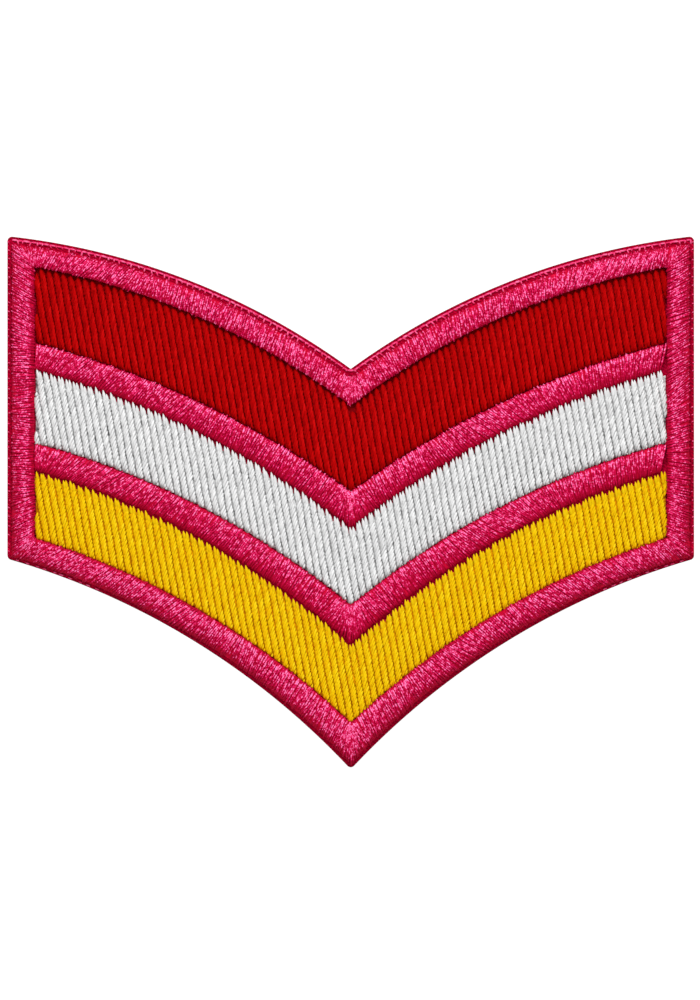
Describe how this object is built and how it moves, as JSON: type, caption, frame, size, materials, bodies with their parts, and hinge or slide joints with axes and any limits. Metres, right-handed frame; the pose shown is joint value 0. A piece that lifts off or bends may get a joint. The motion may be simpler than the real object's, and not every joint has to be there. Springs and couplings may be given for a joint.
{
  "type": "rank stripe patch",
  "caption": "Chevron rank stripe patch: red, white and yellow embroidered stripes parted by raised pink satin ridges, with a satin roll round the cut edge.",
  "frame": {"origin": "middle of the outline's box, on the flat back face", "axes": "+X to the wearer's view right along the width, +Y to the top corners, away from the point of the V, +Z out of the embroidered face"},
  "size_m": [0.09, 0.0696, 0.0024],
  "materials": {
    "twill_cloth": "crimson polyester twill with a stiff backing, cut edge",
    "pink_satin": "glossy trilobal polyester embroidery thread laid in satin stitch",
    "red_fill": "polyester embroidery thread in leaning fill columns",
    "white_fill": "polyester embroidery thread in leaning fill columns",
    "yellow_fill": "polyester embroidery thread in leaning fill columns"
  },
  "bodies": {
    "root": {"base_cloth": "twill_cloth", "border": "pink_satin", "red_stripe": "red_fill", "upper_divider": "pink_satin", "white_stripe": "white_fill", "lower_divider": "pink_satin", "yellow_stripe": "yellow_fill"}
  },
  "joints": []
}
